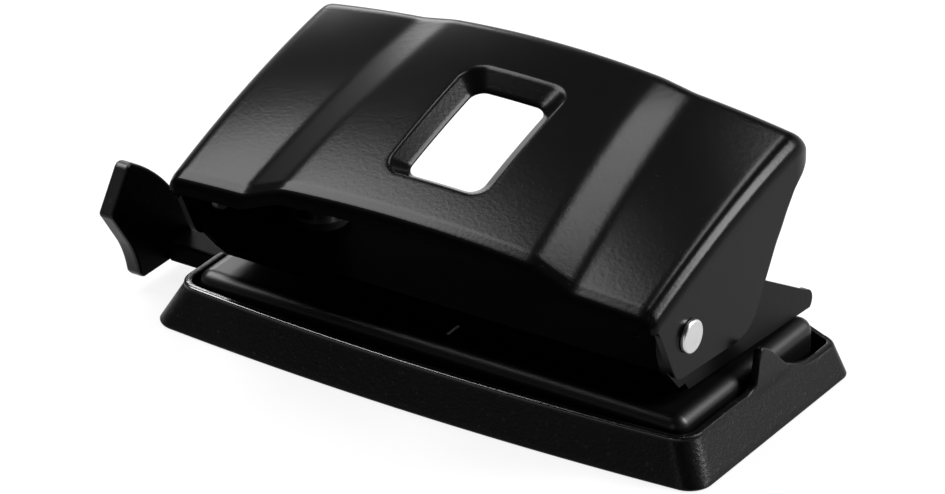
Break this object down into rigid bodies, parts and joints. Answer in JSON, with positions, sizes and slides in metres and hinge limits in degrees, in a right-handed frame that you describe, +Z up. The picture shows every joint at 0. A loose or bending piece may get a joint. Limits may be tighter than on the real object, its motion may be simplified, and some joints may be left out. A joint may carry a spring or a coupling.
{
  "type": "hole punch",
  "caption": "Hand-operated desk hole punch: an arched pressed lever over a sheet-steel bridge and table, with spring-loaded punch pins, a sliding paper guide and a chip tray.",
  "frame": {"origin": "centre of the chip tray's underside, on the desk", "axes": "+X along the punch to the end away from the paper guide, +Y to the rear where the lever is pressed, +Z up"},
  "size_m": [0.126, 0.0574, 0.0526],
  "materials": {
    "tray_plastic": "finely textured",
    "frame_paint": "glossy",
    "bridge_paint": "satin",
    "lever_paint": "fine grained satin",
    "guide_plastic": "satin",
    "strap_steel": "zinc plated",
    "plated_steel": "bright nickel plated",
    "spring_steel": "oiled spring steel",
    "pin_steel": "ground",
    "washer_plastic": "plain",
    "seat_plastic": "plain"
  },
  "bodies": {
    "frame": {"base_frame": "frame_paint", "upper_frame": "bridge_paint", "frame_rivets": "plated_steel", "left_pivot_rivet": "plated_steel", "right_pivot_rivet": "plated_steel", "left_pivot_washer": "washer_plastic", "right_pivot_washer": "washer_plastic", "left_pin_guide": "plated_steel", "right_pin_guide": "plated_steel", "left_return_spring": "spring_steel", "right_return_spring": "spring_steel", "guide_bracket": "strap_steel", "guide_spring": "spring_steel"},
    "lever": {"lever": "lever_paint"},
    "tray": {"chip_tray": "tray_plastic"},
    "guide": {"paper_guide": "guide_plastic"},
    "left_pin": {"left_punch_pin": "pin_steel", "left_spring_seat": "seat_plastic", "left_retaining_ring": "spring_steel"},
    "right_pin": {"right_punch_pin": "pin_steel", "right_spring_seat": "seat_plastic", "right_retaining_ring": "spring_steel"}
  },
  "joints": [
    {"name": "lever_press", "type": "hinge", "parent": "frame", "child": "lever", "pos_m": [0, -0.0177, 0.0255], "axis": [-1, 0, 0], "range_deg": [0, 13], "stiffness_Nm_per_rad": 1.8, "springref_deg": -6.88},
    {"name": "left_pin_slide", "type": "slide", "parent": "frame", "child": "left_pin", "axis": [0, 0, -1], "range_m": [0, 0.0058], "deforming": ["left_return_spring"]},
    {"name": "right_pin_slide", "type": "slide", "parent": "frame", "child": "right_pin", "axis": [0, 0, -1], "range_m": [0, 0.0058], "deforming": ["right_return_spring"]},
    {"name": "guide_slide", "type": "slide", "parent": "frame", "child": "guide", "axis": [-1, 0, 0], "range_m": [-0.007, 0.074]},
    {"name": "tray_pull", "type": "slide", "parent": "frame", "child": "tray", "axis": [0, 0, -1], "range_m": [0, 0.02]}
  ],
  "couplings": [
    {"joint": "left_pin_slide", "follows": "lever_press", "m_per_rad": 0.025},
    {"joint": "right_pin_slide", "follows": "lever_press", "m_per_rad": 0.025}
  ]
}
